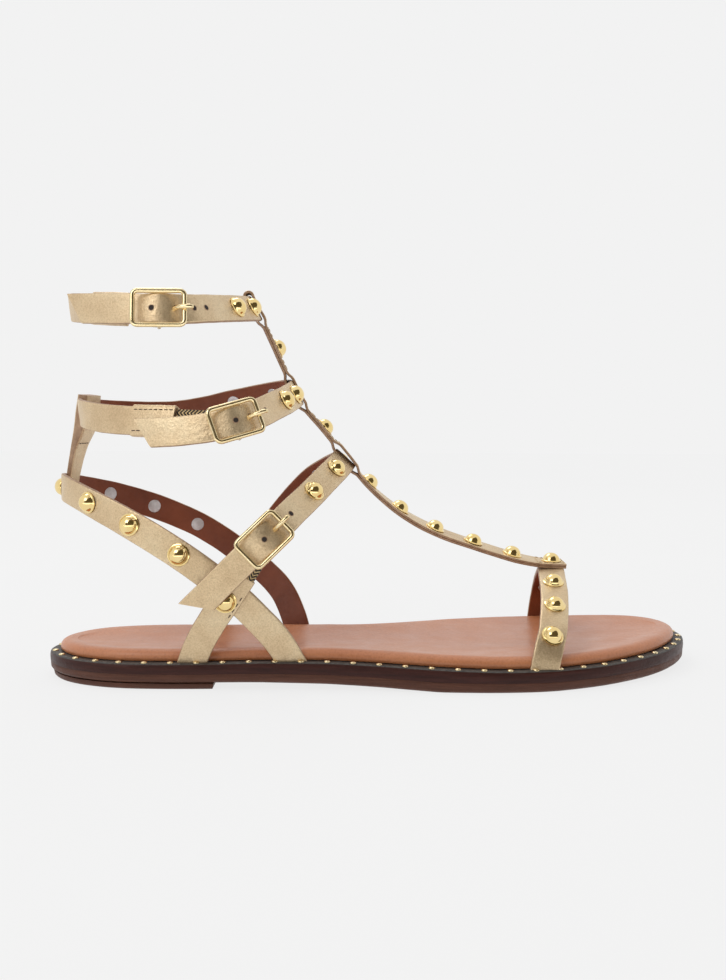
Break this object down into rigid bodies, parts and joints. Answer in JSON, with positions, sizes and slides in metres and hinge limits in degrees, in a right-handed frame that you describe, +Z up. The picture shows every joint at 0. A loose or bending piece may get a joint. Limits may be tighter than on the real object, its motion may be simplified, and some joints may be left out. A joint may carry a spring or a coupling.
{
  "type": "gladiator sandal",
  "caption": "Flat gladiator sandal with studded metallic straps, a T-strap, buckled ankle straps, a leather footbed and a stacked low sole.",
  "frame": {"origin": "middle of the sandal's box, at floor level", "axes": "+X to the toe, +Y to the inner side of the right foot, +Z up"},
  "size_m": [0.2518, 0.1144, 0.1495],
  "materials": {
    "stacked_sole": "satin",
    "welt": "satin",
    "footbed": "satin",
    "gold_leather": "satin",
    "gold_metal": "polished",
    "woven_elastic": "matte"
  },
  "bodies": {
    "root": {"heel_lift": "stacked_sole", "outsole": "stacked_sole", "midsole": "welt", "insole": "footbed", "upper": "gold_leather", "ankle_strap_mid": "gold_leather", "ankle_strap_top": "gold_leather", "buckle_top": "gold_metal", "elastic_top": "woven_elastic", "buckle_mid": "gold_metal", "elastic_mid": "woven_elastic", "buckle_instep": "gold_metal", "elastic_instep": "woven_elastic", "stud_01": "gold_metal", "stud_02": "gold_metal", "stud_03": "gold_metal", "stud_04": "gold_metal", "stud_05": "gold_metal", "stud_06": "gold_metal", "stud_07": "gold_metal", "stud_08": "gold_metal", "stud_09": "gold_metal", "stud_10": "gold_metal", "stud_11": "gold_metal", "stud_12": "gold_metal", "stud_13": "gold_metal", "stud_14": "gold_metal", "stud_15": "gold_metal", "stud_16": "gold_metal", "stud_17": "gold_metal", "stud_18": "gold_metal", "stud_19": "gold_metal", "stud_20": "gold_metal", "stud_21": "gold_metal", "stud_22": "gold_metal", "stud_23": "gold_metal", "stud_24": "gold_metal", "stud_25": "gold_metal", "stud_26": "gold_metal", "stud_27": "gold_metal", "stud_28": "gold_metal", "stud_29": "gold_metal", "stud_30": "gold_metal", "stud_31": "gold_metal", "stud_32": "gold_metal", "stud_33": "gold_metal", "stud_34": "gold_metal"}
  },
  "joints": []
}
